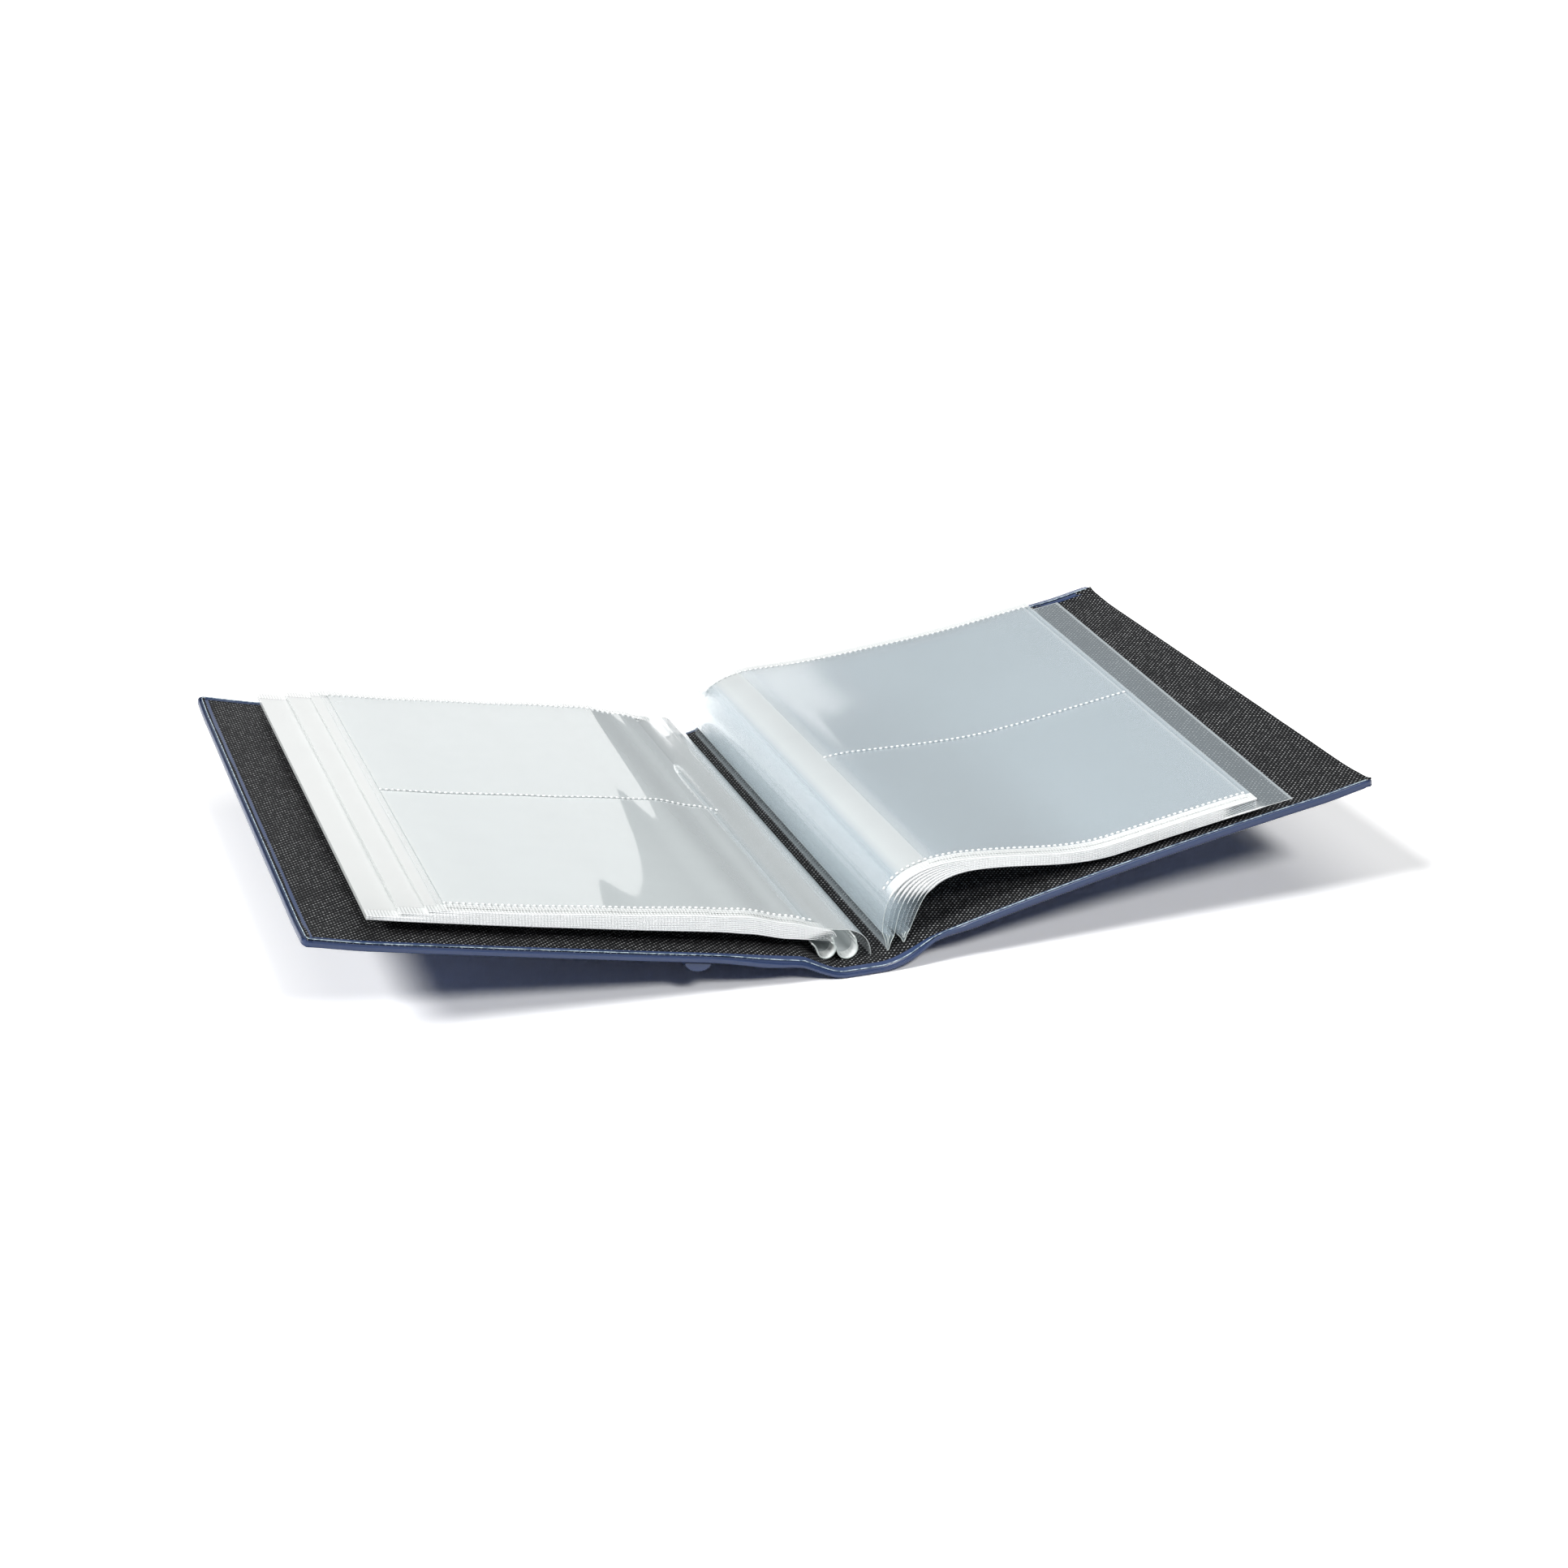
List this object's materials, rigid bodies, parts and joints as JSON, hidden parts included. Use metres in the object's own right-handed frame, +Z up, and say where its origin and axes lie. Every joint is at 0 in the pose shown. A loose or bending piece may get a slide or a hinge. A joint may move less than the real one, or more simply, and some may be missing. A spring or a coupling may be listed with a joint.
{
  "type": "postcard album",
  "caption": "Film-bound postcard album lying open on its spine, with hinged padded covers and clear pocket leaves that turn over the gutter.",
  "frame": {"origin": "on the spine's flat underside, midway between the two cover hinges and midway along the spine", "axes": "+X towards the back cover, -X towards the front cover, +Y along the spine, +Z up"},
  "size_m": [0.3916, 0.24, 0.0487],
  "materials": {
    "blue_film": "satin",
    "black_lining": "matte",
    "grey_board": "matte",
    "clear_film": "gloss"
  },
  "bodies": {
    "spine": {"spine_skin": "blue_film", "spine_card": "grey_board", "spine_lining": "black_lining", "left_loop_1": "clear_film", "left_loop_2": "clear_film", "left_root_strip": "clear_film", "right_fold_1": "clear_film", "right_fold_2": "clear_film", "right_fold_3": "clear_film", "right_fold_4": "clear_film"},
    "front_cover": {"front_skin": "blue_film", "front_board": "grey_board", "front_lining": "black_lining"},
    "back_cover": {"back_skin": "blue_film", "back_board": "grey_board", "back_lining": "black_lining"},
    "left_leaves": {"left_leaf_1": "clear_film", "left_leaf_2": "clear_film", "left_leaf_3": "clear_film", "left_leaf_4": "clear_film", "left_leaf_5": "clear_film", "left_leaf_6": "clear_film", "left_leaf_7": "clear_film", "left_leaf_8": "clear_film", "left_leaf_9": "clear_film", "left_lower_pocket": "clear_film", "left_upper_pocket": "clear_film"},
    "right_leaves": {"right_leaf_4": "clear_film", "right_leaf_5": "clear_film", "right_leaf_6": "clear_film", "right_leaf_7": "clear_film", "right_leaf_8": "clear_film"},
    "third_leaf": {"right_leaf_3": "clear_film"},
    "second_leaf": {"right_leaf_2": "clear_film"},
    "top_leaf_root": {"right_leaf_1_root": "clear_film"},
    "top_leaf": {"right_leaf_1": "clear_film", "right_lower_pocket": "clear_film", "right_upper_pocket": "clear_film"}
  },
  "joints": [
    {"name": "front_hinge", "type": "hinge", "parent": "spine", "child": "front_cover", "pos_m": [-0.0241, 0, 0.0095], "axis": [0, 1, 0], "range_deg": [-10.8, 79.2]},
    {"name": "back_hinge", "type": "hinge", "parent": "spine", "child": "back_cover", "pos_m": [0.0241, 0, 0.0095], "axis": [0, -1, 0], "range_deg": [-11.4, 78]},
    {"name": "left_leaves_turn", "type": "hinge", "parent": "spine", "child": "left_leaves", "pos_m": [-0.00994, 0, 0.01437], "axis": [0, 1, 0], "range_deg": [-10.8, 79.2]},
    {"name": "right_leaves_turn", "type": "hinge", "parent": "spine", "child": "right_leaves", "pos_m": [0.01278, 0, 0.0183], "axis": [0, -1, 0], "range_deg": [-11.4, 78]},
    {"name": "third_leaf_turn", "type": "hinge", "parent": "right_leaves", "child": "third_leaf", "pos_m": [0.01056, 0, 0.0096], "axis": [0, 1, 0], "range_deg": [-10, 0]},
    {"name": "second_leaf_turn", "type": "hinge", "parent": "third_leaf", "child": "second_leaf", "pos_m": [0.00908, 0, 0.01012], "axis": [0, 1, 0], "range_deg": [-20, 0]},
    {"name": "top_leaf_root_turn", "type": "hinge", "parent": "second_leaf", "child": "top_leaf_root", "pos_m": [0.0076, 0, 0.01096], "axis": [0, 1, 0], "range_deg": [-35, 0]},
    {"name": "top_leaf_fold", "type": "hinge", "parent": "top_leaf_root", "child": "top_leaf", "pos_m": [0.01818, 0, 0.03145], "axis": [0, 1, 0], "range_deg": [-100, 0]}
  ],
  "couplings": [
    {"joint": "left_leaves_turn", "follows": "front_hinge", "ratio": 1},
    {"joint": "right_leaves_turn", "follows": "back_hinge", "ratio": 1}
  ]
}
